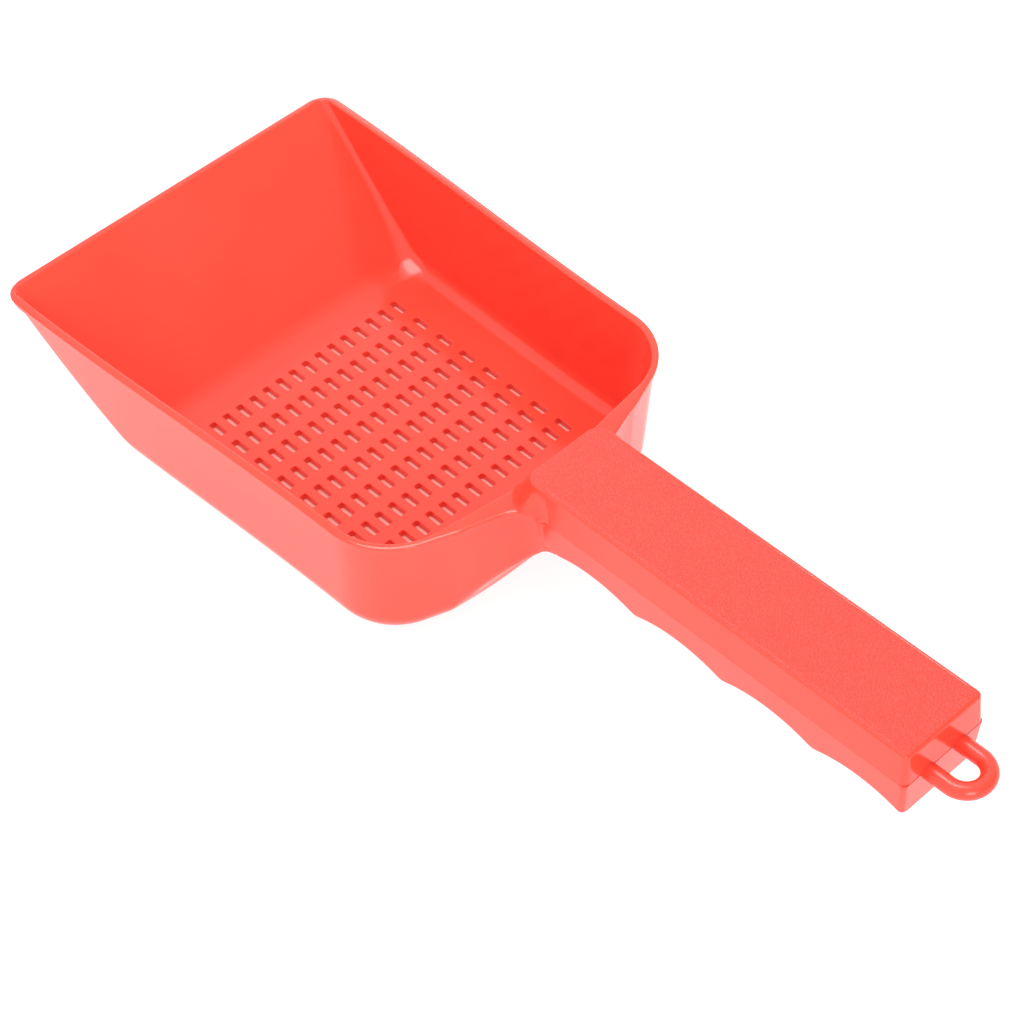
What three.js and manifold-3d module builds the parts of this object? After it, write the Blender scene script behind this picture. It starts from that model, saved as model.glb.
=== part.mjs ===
// A beach sand scoop: a slotted pan with a sloping front, a finger-grooved handle with a closed top, and a
// hanging loop. Millimetres, +Z up. The pan stands on z = 0, its lip points along -X and its handle along +X,
// and y = 0 is its mirror plane.
import * as THREE from "three";
import { mergeGeometries, mergeVertices } from "three/addons/utils/BufferGeometryUtils.js";
import Module from "manifold-3d";

const wasm = await Module();
wasm.setup();

// Driving dimensions
const LENGTH = 307.2;
const RIM_Z = 40;
const FLOOR = 2.2;
const WALL = 2.4;
const SEAM_Z = 39;
const HANDLE_TOP_Z = 49.2;
const HANDLE_BOTTOM_Z = 26;
const HANDLE_HALF_WIDTH = 14.4;
const GAP = 0.3;
// How far joined solids run into each other and cutters run past a face
const OVERLAP = 1;

// Places along the length
const LIP_X = -LENGTH / 2;
const LOOP_END_X = LENGTH / 2;
const HANDLE_END_X = LOOP_END_X - 14.2;

// Plan of the pan at its rim. The sides run in a little toward the handle along a shallow curve, whose
// control points stand at even steps of x, so that x grows evenly along it.
const SIDE_START_X = -149.2;
const SIDE_END_X = -17.5;
const SIDE_HALF_WIDTHS = [60.4, 60.4, 55.9, 55.5];
const REAR_HALF_WIDTH = SIDE_HALF_WIDTHS[3];
// The rear wall leans from the corner to a shoulder, then bows a little across the middle, less so lower
// down.
const OUTER_REAR = { cornerX: -2.8, shoulderX: 5.3, shoulderY: 32.5, centreX: 8.6, flatten: 0.04 };
const INNER_REAR = { cornerX: -1.25, shoulderX: 5.5, shoulderY: 15, centreX: 5.7, flatten: 0 };
const REAR_CORNER_RADIUS = 22;
// How far the walls lean in for each millimetre down from the rim: the sides more at the front than at the
// rear.
const SIDE_DRAFT = { front: 0.108, rear: 0.062 };
const REAR_DRAFT = { outer: 0.118, inner: 0.168 };
// The rim is a small bead that stands out over the wall below it.
const BEAD = { height: 2, overhang: 0.7, taper: 0.5 };

// Front slope: how far its face moves along x for each millimetre down from the rim, and its bend into the
// floor.
const LIP_THICKNESS_X = 1.8;
const SLOPE_ROOT_X = -110.6;
const SLOPE_INNER_SHIFT = 1.2;
const SLOPE_BEND_RADIUS = { outer: 20, inner: 17 };
// Rounded foot of the walls and the pan's front corners at the lip
const FOOT_RADIUS = { outer: 7.5, inner: 4 };
const LIP_CORNER_RADIUS = { outer: 7, inner: 1.6 };

// Sieve slots: a straight grid, long side along the scoop
const SLOT = { length: 5.7, width: 2, rows: 8, columns: 16, pitchX: 10, pitchY: 4.95, firstX: -99.3 };

// Handle
const DRAFT = 0.05;
const GROOVE = { count: 4, pitch: 30.2, depth: 3.5, firstX: 34.4 };
const EDGE_RADIUS = 1.6;
// Neck: in plan a concave fillet between the rear wall and the handle's sides, from below a sloping web
const NECK = { filletRadius: 8.2, filletX: 17.5, filletStart: 1.12 * Math.PI, flareX: 9.8, flareY: 20.8 };
const NECK_REACH = { backX: -9, endX: 22.5, sink: 0.2 };
const WEB = { lowX: 3.8, lowZ: 9.5, highX: 16.3, highZ: HANDLE_BOTTOM_Z - 0.4, backX: -8.2 };
// Where the web's top rounds off into the handle's underside, and the control point of that curve
const WEB_END = { x: WEB.highX + 5, z: HANDLE_BOTTOM_Z + 2.1 };
const WEB_BEND = { x: WEB.highX + 2, z: HANDLE_BOTTOM_Z + 1.5 };
const HANDLE_END_RADIUS = 1.8;
const COVER_FRONT_RADIUS = 4.5;
const TROUGH = { startX: 9, halfWidth: 11.6, floorZ: 32.2 };
const COVER_CEILING_Z = HANDLE_TOP_Z - WALL;
const END_WALL_X = HANDLE_END_X - WALL - GAP;
const TONGUE = { drop: 2.5, thickness: 1.4 };
const SOCKET = { places: [30, 74, 116], outer: 4, bore: 2.3, boreLength: 10, floorZ: 33.4 };
const PIN = { radius: 2, tipZ: 34.2 };

// Hanging loop: a bent round bar whose legs lie across the seam and are joined by a bar inside the handle
const LOOP = { barRadius: 2.3, axisZ: 38.1, legY: 5.75, anchorX: HANDLE_END_X - 8, anchorHalfLength: 9.5 };
const NOTCH = { radius: LOOP.barRadius + GAP, length: 12, centreX: HANDLE_END_X - 3 };

const ARC_STEPS = 6;
const SIDE_STEPS = 5;

// ---- solids -------------------------------------------------------------------------------------

// A closed geometry as a manifold solid.
function solid(geometry) {
  const bare = geometry.clone();
  bare.deleteAttribute("normal");
  bare.deleteAttribute("uv");
  const merged = mergeVertices(bare, 1e-4);
  return new wasm.Manifold(
    new wasm.Mesh({
      numProp: 3,
      vertProperties: new Float32Array(merged.attributes.position.array),
      triVerts: new Uint32Array(merged.index.array),
    }),
  );
}

// A manifold solid back as a named mesh.
function meshOf(name, made, material) {
  const { vertProperties, triVerts } = made.getMesh();
  const geometry = new THREE.BufferGeometry()
    .setAttribute("position", new THREE.BufferAttribute(vertProperties, 3))
    .setIndex(new THREE.BufferAttribute(triVerts, 1));
  geometry.computeVertexNormals();
  const mesh = new THREE.Mesh(geometry, material);
  mesh.name = name;
  return mesh;
}

// An axis-aligned block between two corners.
function block([x0, y0, z0], [x1, y1, z1]) {
  const box = new THREE.BoxGeometry(x1 - x0, y1 - y0, z1 - z0);
  return box.translate((x0 + x1) / 2, (y0 + y1) / 2, (z0 + z1) / 2);
}

// A closed skin through level outlines stacked upward, each an array of the same number of points, capped
// top and bottom.
function stack(layers) {
  const count = layers[0].outline.length;
  const positions = layers.flatMap(({ z, outline }) => outline.flatMap((p) => [p.x, p.y, z]));
  const index = [];
  for (let layer = 0; layer + 1 < layers.length; layer++) {
    for (let i = 0; i < count; i++) {
      const next = (i + 1) % count;
      const [a, b] = [layer * count + i, layer * count + next];
      index.push(a, b, b + count, a, b + count, a + count);
    }
  }
  const top = (layers.length - 1) * count;
  for (const [a, b, c] of THREE.ShapeUtils.triangulateShape(layers[0].outline, [])) index.push(a, c, b);
  for (const [a, b, c] of THREE.ShapeUtils.triangulateShape(layers.at(-1).outline, [])) {
    index.push(top + a, top + b, top + c);
  }
  return new THREE.BufferGeometry()
    .setAttribute("position", new THREE.Float32BufferAttribute(positions, 3))
    .setIndex(index);
}

// Points of an arc about a centre, from one angle to another.
function arc(x, y, radius, from, to, steps = ARC_STEPS) {
  return new THREE.Path().absarc(x, y, radius, from, to, to < from).getSpacedPoints(steps).slice(-steps - 1);
}

// A half outline (y > 0, from -X to +X) and its mirror image as one anticlockwise ring.
function mirrored(half) {
  const low = half.map((p) => new THREE.Vector2(p.x, -p.y));
  return [...low, ...half.toReversed()].filter((p, i, ring) => p.distanceTo(ring.at(i - 1)) > 1e-3);
}

// ---- pan ----------------------------------------------------------------------------------------

// Half width of the pan's rim at x.
function sideHalfWidth(x) {
  const points = SIDE_HALF_WIDTHS.map((y) => new THREE.Vector2(0, y));
  const share = THREE.MathUtils.clamp((x - SIDE_START_X) / (SIDE_END_X - SIDE_START_X), 0, 1);
  return new THREE.CubicBezierCurve(...points).getPoint(share).y;
}

// The pan's level outline at a depth below the rim, with its front edge at x = front and its walls moved in.
function panOutline({ depth, front, inset, rearInset, frontRadius, rearRadius, rear }) {
  const wallY = (x) => {
    const share = THREE.MathUtils.clamp((x - SIDE_START_X) / (SIDE_END_X - SIDE_START_X), 0, 1);
    const draft = THREE.MathUtils.lerp(SIDE_DRAFT.front, SIDE_DRAFT.rear, share);
    return sideHalfWidth(x) - draft * depth - inset;
  };
  const sideInset = REAR_HALF_WIDTH - wallY(SIDE_END_X);
  const cornerY = REAR_HALF_WIDTH - sideInset;
  const wallRun = new THREE.Vector2(rear.shoulderX - rear.cornerX, rear.shoulderY - REAR_HALF_WIDTH);
  const turn = Math.atan2(-wallRun.y, wallRun.x);
  const cornerX = rear.cornerX + (sideInset * wallRun.x) / -wallRun.y - rearInset / Math.sin(turn);
  const tangent = rearRadius * Math.tan(turn / 2);
  const sideStart = front + frontRadius;
  const sideEnd = cornerX - tangent;
  const half = arc(sideStart, wallY(sideStart) - frontRadius, frontRadius, Math.PI, Math.PI / 2);
  for (let i = 1; i < SIDE_STEPS; i++) {
    const x = THREE.MathUtils.lerp(sideStart, sideEnd, i / SIDE_STEPS);
    half.push(new THREE.Vector2(x, wallY(x)));
  }
  half.push(...arc(sideEnd, cornerY - rearRadius, rearRadius, Math.PI / 2, Math.PI / 2 - turn));
  half.push(new THREE.Vector2(rear.shoulderX - rearInset / Math.sin(turn), rear.shoulderY));
  half.push(new THREE.Vector2(rear.centreX - rear.flatten * depth - rearInset / Math.sin(turn), 0.5));
  return mirrored(half);
}

// How far a wall that ends in a rounded foot moves in at a height above the foot.
function footInset(height, radius) {
  return height < radius ? radius - Math.sqrt(radius ** 2 - (radius - height) ** 2) : 0;
}

// x of the sloping front at a height: a straight slope with a round bend into the floor.
function slopeX(z, floorZ, topX, rootX, bend) {
  const run = (rootX - topX) / (RIM_Z - floorZ);
  const angle = Math.atan(1 / run);
  const height = z - floorZ;
  if (height >= bend * (1 - Math.cos(angle))) return rootX - run * height;
  const centreX = rootX + bend * Math.tan(angle / 2);
  return centreX - Math.sqrt(bend ** 2 - (bend - height) ** 2);
}

// The pan's outer or inner skin as a closed solid from floorZ up to topZ.
function panSolid({ floorZ, topZ, lipX, rootX, bend, wall, bead, footRadius, lipRadius, rear, rearDraft }) {
  const footSteps = [0, 0.04, 0.16, 0.36, 0.66, 1].map((share) => floorZ + share * footRadius);
  const beadZ = RIM_Z - BEAD.height;
  const heights = [...footSteps, (floorZ + RIM_Z) / 2, beadZ - BEAD.taper, beadZ, topZ];
  return solid(
    stack(
      heights.map((z) => {
        const depth = RIM_Z - z;
        const foot = footInset(z - floorZ, footRadius) + (z < beadZ ? bead : 0);
        return {
          z,
          outline: panOutline({
            front: slopeX(z, floorZ, lipX, rootX, bend),
            depth,
            inset: wall + foot,
            rearInset: rearDraft * depth + foot,
            frontRadius: lipRadius + (footRadius - lipRadius) * (depth / RIM_Z),
            rearRadius: Math.max(REAR_CORNER_RADIUS - wall - foot, footRadius),
            rear,
          }),
        };
      }),
    ),
  );
}

function panOuter() {
  return panSolid({
    floorZ: 0,
    topZ: RIM_Z,
    lipX: LIP_X,
    rootX: SLOPE_ROOT_X,
    bend: SLOPE_BEND_RADIUS.outer,
    wall: 0,
    bead: BEAD.overhang,
    footRadius: FOOT_RADIUS.outer,
    lipRadius: LIP_CORNER_RADIUS.outer,
    rear: OUTER_REAR,
    rearDraft: REAR_DRAFT.outer,
  });
}

function panInner() {
  return panSolid({
    floorZ: FLOOR,
    topZ: RIM_Z + OVERLAP,
    lipX: LIP_X + LIP_THICKNESS_X,
    rootX: SLOPE_ROOT_X + SLOPE_INNER_SHIFT,
    bend: SLOPE_BEND_RADIUS.inner,
    wall: WALL,
    bead: 0,
    footRadius: FOOT_RADIUS.inner,
    lipRadius: LIP_CORNER_RADIUS.inner,
    rear: INNER_REAR,
    rearDraft: REAR_DRAFT.inner,
  });
}

function slots() {
  const boxes = [];
  for (let row = 0; row < SLOT.rows; row++) {
    for (let column = 0; column < SLOT.columns; column++) {
      const x = SLOT.firstX + row * SLOT.pitchX;
      const y = (column - (SLOT.columns - 1) / 2) * SLOT.pitchY;
      boxes.push(new THREE.BoxGeometry(SLOT.length, SLOT.width, 4 * FLOOR).translate(x, y, FLOOR / 2));
    }
  }
  return solid(mergeGeometries(boxes));
}

// ---- handle -------------------------------------------------------------------------------------

// Level outline of the handle from x = start to its end, drawn in by an inset.
function handleOutline(start, inset, startRadius) {
  const y = HANDLE_HALF_WIDTH - inset;
  const end = HANDLE_END_X - inset;
  return mirrored([
    ...arc(start + startRadius, y - startRadius, startRadius, Math.PI, Math.PI / 2),
    ...arc(end - HANDLE_END_RADIUS, y - HANDLE_END_RADIUS, HANDLE_END_RADIUS, Math.PI / 2, 0),
  ]);
}

// The lower half of the handle, below the seam, with its finger grooves.
function handleBase() {
  const heights = [0, 0.15, 0.5, 1].map((share) => HANDLE_BOTTOM_Z + share * EDGE_RADIUS);
  const layers = [...heights, SEAM_Z - GAP / 2].map((z) => {
    const inset = DRAFT * (SEAM_Z - z) + footInset(z - HANDLE_BOTTOM_Z, EDGE_RADIUS);
    return { z, outline: handleOutline(0, inset, 1) };
  });
  let base = solid(stack(layers));
  const radius = ((GROOVE.pitch / 2) ** 2 + GROOVE.depth ** 2) / (2 * GROOVE.depth);
  for (let i = 0; i < GROOVE.count; i++) {
    const roller = new THREE.CylinderGeometry(radius, radius, 4 * HANDLE_HALF_WIDTH, 56);
    const x = GROOVE.firstX + i * GROOVE.pitch;
    base = base.subtract(solid(roller.translate(x, 0, HANDLE_BOTTOM_Z + GROOVE.depth - radius)));
  }
  return base;
}

// The neck: concave fillets carry the pan's rear wall round into the handle's sides, above a sloping web.
function neck() {
  const { filletRadius: r, filletX, filletStart, flareX, flareY } = NECK;
  const layers = [0, RIM_Z].map((z) => {
    const lean = REAR_DRAFT.outer * (RIM_Z - z);
    const half = [
      new THREE.Vector2(NECK_REACH.backX, OUTER_REAR.shoulderY),
      new THREE.Vector2(OUTER_REAR.shoulderX - lean - NECK_REACH.sink, OUTER_REAR.shoulderY),
      new THREE.Vector2(flareX - lean, flareY),
      ...arc(filletX - lean, HANDLE_HALF_WIDTH + r, r, filletStart, 1.5 * Math.PI),
      new THREE.Vector2(NECK_REACH.endX, HANDLE_HALF_WIDTH),
    ];
    return { z, outline: mirrored(half) };
  });
  const web = new THREE.Shape()
    .moveTo(WEB.backX, WEB.lowZ)
    .lineTo(WEB.lowX, WEB.lowZ)
    .lineTo(WEB.highX, WEB.highZ)
    .quadraticCurveTo(WEB_BEND.x, WEB_BEND.z, WEB_END.x, WEB_END.z)
    .lineTo(WEB_END.x, RIM_Z)
    .lineTo(WEB.backX, RIM_Z);
  const width = 2 * (OUTER_REAR.shoulderY + OVERLAP);
  const profile = new THREE.ExtrudeGeometry(web, { depth: width, bevelEnabled: false, curveSegments: 4 });
  profile.rotateX(Math.PI / 2).translate(0, width / 2, 0);
  return solid(stack(layers)).intersect(solid(profile));
}

// Sockets that the cover's pins press into.
function sockets() {
  return SOCKET.places.map((x) => {
    const height = SEAM_Z - GAP - TROUGH.floorZ + OVERLAP;
    const tube = new THREE.CylinderGeometry(SOCKET.outer, SOCKET.outer, height, 16).rotateX(Math.PI / 2);
    return solid(tube.translate(x, 0, TROUGH.floorZ - OVERLAP + height / 2));
  });
}

function socketBores() {
  return SOCKET.places.map((x) => {
    const bore = new THREE.CylinderGeometry(SOCKET.bore, SOCKET.bore, SOCKET.boreLength, 16);
    return solid(bore.rotateX(Math.PI / 2).translate(x, 0, SOCKET.floorZ + SOCKET.boreLength / 2));
  });
}

// Round holes through the end wall, across the seam, for the loop's legs.
function legNotches() {
  return [-1, 1].map((side) => {
    const hole = new THREE.CylinderGeometry(NOTCH.radius, NOTCH.radius, NOTCH.length, 20);
    return solid(hole.rotateZ(Math.PI / 2).translate(NOTCH.centreX, side * LOOP.legY, LOOP.axisZ));
  });
}

// The cover's outer form, grown sideways by a clearance so that it can also cut its own seat.
function coverForm(bottomZ, clearance) {
  const heights = [0, 0.3, 0.7, 1].map((share) => HANDLE_TOP_Z - (1 - share) * EDGE_RADIUS);
  const front = INNER_REAR.centreX;
  const layers = [bottomZ, ...heights].map((z) => {
    const inset = DRAFT * (z - SEAM_Z) + footInset(HANDLE_TOP_Z - z, EDGE_RADIUS) - clearance;
    const start = front + REAR_DRAFT.inner * (z - RIM_Z) + footInset(HANDLE_TOP_Z - z, EDGE_RADIUS);
    return { z, outline: handleOutline(start, inset, COVER_FRONT_RADIUS) };
  });
  return solid(stack(layers));
}

function handleCover() {
  const bottom = SEAM_Z + GAP / 2;
  const y = TROUGH.halfWidth - GAP;
  const startX = TROUGH.startX + GAP;
  const endX = END_WALL_X - GAP;
  const tongue = solid(block([startX, -y, SEAM_Z - TONGUE.drop], [endX, y, bottom + OVERLAP]));
  const t = TONGUE.thickness;
  const pocket = solid(
    block([startX + t, t - y, SEAM_Z - TONGUE.drop - OVERLAP], [endX - t, y - t, COVER_CEILING_Z]),
  );
  const pins = SOCKET.places.map((x) => {
    const height = COVER_CEILING_Z + OVERLAP - PIN.tipZ;
    const pin = new THREE.CylinderGeometry(PIN.radius, PIN.radius, height, 16).rotateX(Math.PI / 2);
    return solid(pin.translate(x, 0, PIN.tipZ + height / 2));
  });
  let cover = coverForm(bottom, 0).add(tongue).subtract(pocket);
  for (const pin of pins) cover = cover.add(pin);
  for (const notch of legNotches()) cover = cover.subtract(notch);
  return cover;
}

// ---- scoop body ---------------------------------------------------------------------------------

function scoopBody() {
  const troughTop = [END_WALL_X, TROUGH.halfWidth, RIM_Z + OVERLAP];
  const trough = solid(block([TROUGH.startX, -TROUGH.halfWidth, TROUGH.floorZ], troughTop));
  let body = panOuter().add(handleBase()).add(neck());
  body = body.subtract(panInner()).subtract(trough).subtract(coverForm(SEAM_Z - GAP / 2, GAP));
  for (const socket of sockets()) body = body.add(socket);
  for (const cut of [...socketBores(), ...legNotches(), slots()]) body = body.subtract(cut);
  return body;
}

// ---- hanging loop -------------------------------------------------------------------------------

// The loop's centre line: a leg, a half circle round the far end, and the other leg.
class LoopPath extends THREE.Curve {
  getPoint(t, target = new THREE.Vector3()) {
    const bendX = LOOP_END_X - LOOP.barRadius - LOOP.legY;
    const leg = bendX - LOOP.anchorX;
    const bend = Math.PI * LOOP.legY;
    const along = t * (2 * leg + bend);
    if (along < leg) return target.set(LOOP.anchorX + along, -LOOP.legY, LOOP.axisZ);
    if (along > leg + bend) return target.set(bendX - (along - leg - bend), LOOP.legY, LOOP.axisZ);
    const angle = (along - leg) / LOOP.legY - Math.PI / 2;
    return target.set(bendX + LOOP.legY * Math.cos(angle), LOOP.legY * Math.sin(angle), LOOP.axisZ);
  }
}

function hangLoop() {
  const section = new THREE.Shape().absarc(0, 0, LOOP.barRadius, 0, 2 * Math.PI);
  const bar = new THREE.ExtrudeGeometry(section, { steps: 36, curveSegments: 6, extrudePath: new LoopPath() });
  const anchor = new THREE.CylinderGeometry(LOOP.barRadius, LOOP.barRadius, 2 * LOOP.anchorHalfLength, 14);
  return solid(bar).add(solid(anchor.translate(LOOP.anchorX, 0, LOOP.axisZ)));
}

// ---- assembly -----------------------------------------------------------------------------------

const smoothPlastic = new THREE.MeshStandardMaterial({ color: 0xf03c2c, roughness: 0.3 });
const grainedPlastic = new THREE.MeshStandardMaterial({ color: 0xf04434, roughness: 0.5 });
const loopPlastic = new THREE.MeshStandardMaterial({ color: 0xee3826, roughness: 0.25 });

const scoop = new THREE.Group();
scoop.name = "sand_scoop";
scoop.add(meshOf("scoop_body", scoopBody(), smoothPlastic));
scoop.add(meshOf("handle_cover", handleCover(), grainedPlastic));
scoop.add(meshOf("hang_loop", hangLoop(), loopPlastic));

export default scoop;
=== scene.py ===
"""Looks of the beach sand scoop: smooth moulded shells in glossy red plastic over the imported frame.

Shapes are worked out in millimetres in the frame's own axes (+X along the handle, +Z up) and scaled
to metres when a mesh is made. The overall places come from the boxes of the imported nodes.
"""

import math

import bmesh
import bpy
import numpy as np
from mathutils import Matrix, Vector, geometry


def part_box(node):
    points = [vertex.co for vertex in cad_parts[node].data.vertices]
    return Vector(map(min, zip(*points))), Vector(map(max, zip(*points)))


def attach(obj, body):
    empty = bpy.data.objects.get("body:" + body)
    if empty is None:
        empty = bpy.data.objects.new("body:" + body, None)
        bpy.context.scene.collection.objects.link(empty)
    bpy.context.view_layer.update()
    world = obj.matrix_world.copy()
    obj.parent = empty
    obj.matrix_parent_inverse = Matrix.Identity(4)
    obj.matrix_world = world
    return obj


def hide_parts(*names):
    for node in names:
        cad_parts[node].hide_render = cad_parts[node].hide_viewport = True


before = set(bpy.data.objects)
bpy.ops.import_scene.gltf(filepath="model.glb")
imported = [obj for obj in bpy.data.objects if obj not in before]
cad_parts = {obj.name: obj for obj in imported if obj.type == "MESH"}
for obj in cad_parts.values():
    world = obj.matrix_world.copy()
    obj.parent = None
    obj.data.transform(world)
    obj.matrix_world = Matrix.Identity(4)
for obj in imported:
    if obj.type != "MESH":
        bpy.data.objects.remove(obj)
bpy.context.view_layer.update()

MM = 0.001
BODY_LOW, BODY_HIGH = (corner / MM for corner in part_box("scoop_body"))
COVER_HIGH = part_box("handle_cover")[1] / MM
LOOP_LOW, LOOP_HIGH = (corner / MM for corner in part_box("hang_loop"))

# Mesh making: how close points are merged and how short edges are dissolved, both in metres, and the
# tolerance of a flat sheet in millimetres
MERGE_DISTANCE = 2e-6
SHORTEST_EDGE = 1e-6
SHEET_TOLERANCE = 1e-6

# Places shared by several pieces; the handle's end stays inside the box by a small margin
LIP_X = BODY_LOW.x
END_MARGIN = 0.05
HANDLE_END_X = BODY_HIGH.x - END_MARGIN
RIM_Z = BODY_HIGH.z
TOP_Z = COVER_HIGH.z
FLOOR_Z = 2.4
# Line between the handle's halves: its level height, the stretch where it rises to the rim, and its
# gap, which widens at the handle's end
SEAM_Z = RIM_Z - 1
SEAM_RISE_X = (16.6, 19.2)
SEAM_GAP = 0.06
END_SEAM_GAP = 0.2

# Plan of the pan's rim (half of it, y > 0)
SIDE_START_X = LIP_X + 4.4
SIDE_END_X = LIP_X + 136.1
SIDE_HALF_WIDTHS = (BODY_HIGH.y, BODY_HIGH.y, 55.9, 55.5)
REAR_LEAN = 0.355
REAR_X_AT_SHOULDER = 5.5
SHOULDER_Y = 32.5
REAR_CENTRE_X = 7.4
REAR_PULL = 6.0
REAR_CORNER_RADIUS = 22
INNER_REAR_LEAN = 0.139
INNER_REAR_X = 4.9
INNER_SHOULDER_Y = 14

# Sections of the pan's walls: thickness at the rim, drafts (of the side, at its front and rear end)
# and the rounds at the foot
WALL = 2.4
SIDE_DRAFT = (0.104, 0.058)
REAR_DRAFT_OUTER = 0.118
REAR_DRAFT_INNER = 0.168
OUTER_FOOT = 7.5
INNER_FOOT = 4.0
# Bead outside the rim: its lower edge, how far it stands out, how far below and above that edge it
# fades, and how far below and above the rings lie close together
BEAD_Z = RIM_Z - 2
BEAD_OVERHANG = 0.75
BEAD_FADE = (0.55, 0.15)
BEAD_RINGS = (0.6, 0.2)
# Edges of the rim: a small round, on the outside under a slight bevel (its width and its drop)
RIM_ROUND = 0.4
RIM_BEVEL = (0.45, 0.14)

# Sloping front: its root in the floor, its lip, its bends and the radii of its corners, which change
# from the lip to the floor
SLOPE_ROOT_X = -110.6
INNER_ROOT_SHIFT = 1.2
LIP_THICKNESS = 1.8
LIP_TRIM = 0.3
OUTER_BEND = 20
INNER_BEND = 17
OUTER_CORNER = 6
OUTER_CORNER_GROWTH = 4.5
INNER_CORNER = 1.5
INNER_CORNER_AT_LIP = 1.1
INNER_CORNER_SLOPE = 0.5
INNER_CORNER_GROWTH = 5

# Neck between the pan and the handle
NECK_CENTRE_Y = 22.9
NECK_RIM_Y = 15.3
NECK_END_X = 22.0
NECK_BLEND = 1.6
# How far the rim and the wall below it draw in toward the handle, and over which stretch
RIM_TUCK = 1.15
RIM_TUCK_X = (15.5, 19.5)
WALL_TUCK = 0.7
WALL_TUCK_X = (15, 21.5)
# Sloping web under the neck: a point (x, z) low on it, its run, and where and how it curves out
WEB_FOOT = (-1.4, 3.6)
WEB_RUN = 0.82
WEB_BEND_Z = 24.5
WEB_BEND = 0.6

# Sieve slots, which have a chamfer at the top and are slightly wider at the underside
SLOT_ROWS = 8
SLOT_COLUMNS = 16
SLOT_PITCH = (10.0, 4.95)
SLOT_SIZE = (5.7, 2.0)
SLOT_FIRST_X = -99.3
SLOT_CORNER = 0.35
SLOT_CHAMFER = 0.15
SLOT_SPREAD = 0.15
# Width of the plain border round the sieve's sheet, as a share of the way to its middle
BORDER_SHARE = 0.004
# Triangles inside a slot's round corner have their middles within this share of its radius
CHORD_SHARE = 0.965

# Lower half of the handle
HALF_WIDTH = 14.4
BASE_DRAFT = 0.075
GROOVE_PITCH = 30.2
GROOVE_DEPTH = 3.25
GROOVE_FIRST_X = 34.4
GRIP_LOW_Z = 25.9
RIDGE_HEIGHT = 0.25
RIDGE_BLEND = 0.5
GRIP_START_X = 11.0
GRIP_STEP = 0.6
GRIP_CORNER = 1.3
GRIP_EDGE = 0.1
GRIP_EDGE_CUT = 0.3
NECK_LOW_Z = 26.95
NECK_LOW_RISE = 0.3
# Handle's end: its edge round, how much of that lifts the underside, and where it starts to lean in
END_ROUND = 1.4
END_LIFT = 0.4
END_LEAN_RUN = 24

# Cover: its front edge and corners, draft, edge rounding (sides, and extra at the end), and a foot
# that spreads beside and ahead of the neck
COVER_FRONT_X = 10.2
COVER_CORNER = 4.4
COVER_DRAFT = 0.075
COVER_EDGE = (0.7, 0.4)
COVER_EDGE_DEPTH = 1.8
COVER_EDGE_GAP = 0.1
COVER_FOOT_HEIGHT = 4
SIDE_SPREAD = 2.6
SIDE_SPREAD_X = (12.5, 19.5)
FRONT_SPREAD = 2.4
SPREAD_TOP_Z = TOP_Z - 0.5
SPREAD_CURVE = (1.35, 0.25)
# Fine groove inside the cover's long edges: the margin and depth of each of its lines, and the
# stretches where it fades, at the front and back from the end
TOP_GROOVE = ((0.1, 0), (0.25, 0.1), (0.4, 0.12), (0.7, 0.02), (1.1, 0))
GROOVE_FADE_FRONT = (COVER_FRONT_X + 1, COVER_FRONT_X + 9)
GROOVE_FADE_END = (4, 1.5)

# Hanging loop
LOOP_BAR = (LOOP_HIGH.z - LOOP_LOW.z) / 2
LOOP_Z = (LOOP_HIGH.z + LOOP_LOW.z) / 2
LOOP_LEG_Y = 5.75
LOOP_LEG_SINK = 5

# Plastic: deepest and lightest tint of each finish and the range of its roughness; the grain's two
# tints paint shade along the lines between its cells, and the grain adds its own roughness to the
# smooth finish
SMOOTH_TINTS = ((0.86, 0.062, 0.034), (0.91, 0.070, 0.040))
SMOOTH_ROUGHNESS = (0.09, 0.2)
LOOP_TINTS = ((0.85, 0.058, 0.032), (0.90, 0.066, 0.037))
LOOP_ROUGHNESS = (0.16, 0.26)
GRAIN_TINTS_WITH_PAINTED_SHADE = ((0.82, 0.050, 0.030), (0.93, 0.084, 0.058))
GRAIN_ROUGHNESS = 0.3

# White board: half its size in metres, its grey tints, and its own light round and under the sieve;
# under the sieve that light is a painted shadow of the scoop, tinted with painted red bounce light
BOARD_REACH = 3.0
BOARD_DROP = 1e-4
BOARD_TINTS = ((0.28, 0.28, 0.28), (0.30, 0.30, 0.30))
BOARD_GLOW = (0.85, 0.85, 0.85)
PAINTED_SHADOW_AND_BOUNCE = (0.6, 0.15, 0.11)
SHADOW_FADE = (0.001, 0.004)

# Surround: the direction of its dimmer side, the cosine at which dimming starts, and both strengths
DIM_DIRECTION = (0.8, 0.5, 0.45)
DIM_START = 0.65
BRIGHT_STRENGTH = 1.08
DIM_STRENGTH = 0.4

# Camera: azimuth, elevation and roll in degrees about a point on the pan's underside, in metres
CAMERA_ANGLES = (49.50, 47.59, -4.115)
CAMERA_TARGET = (-0.01561, 0.00408, 0.0022)
CAMERA_DISTANCE = 0.749
CAMERA_LENS = 95.73
CAMERA_SENSOR = 36


# ---- small helpers ------------------------------------------------------------------------------

def smoothstep(low, high, x):
    t = np.clip((np.asarray(x, float) - low) / (high - low), 0, 1)
    return t * t * (3 - 2 * t)


def soft_min(a, b, blend):
    """The lower of two values, rounded where they cross."""
    h = np.clip(0.5 + 0.5 * (b - a) / blend, 0, 1)
    return b + (a - b) * h - blend * h * (1 - h)


def soft_max(a, b, blend):
    return -soft_min(-a, -b, blend)


def eased(t, start, pull, end):
    """A cubic from start to end that leaves at the slope of its pull and arrives level."""
    leaving = (2 * t**3 - 3 * t**2 + 1) * start + (t**3 - 2 * t**2 + t) * pull
    return leaving + (3 * t**2 - 2 * t**3) * end


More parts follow.
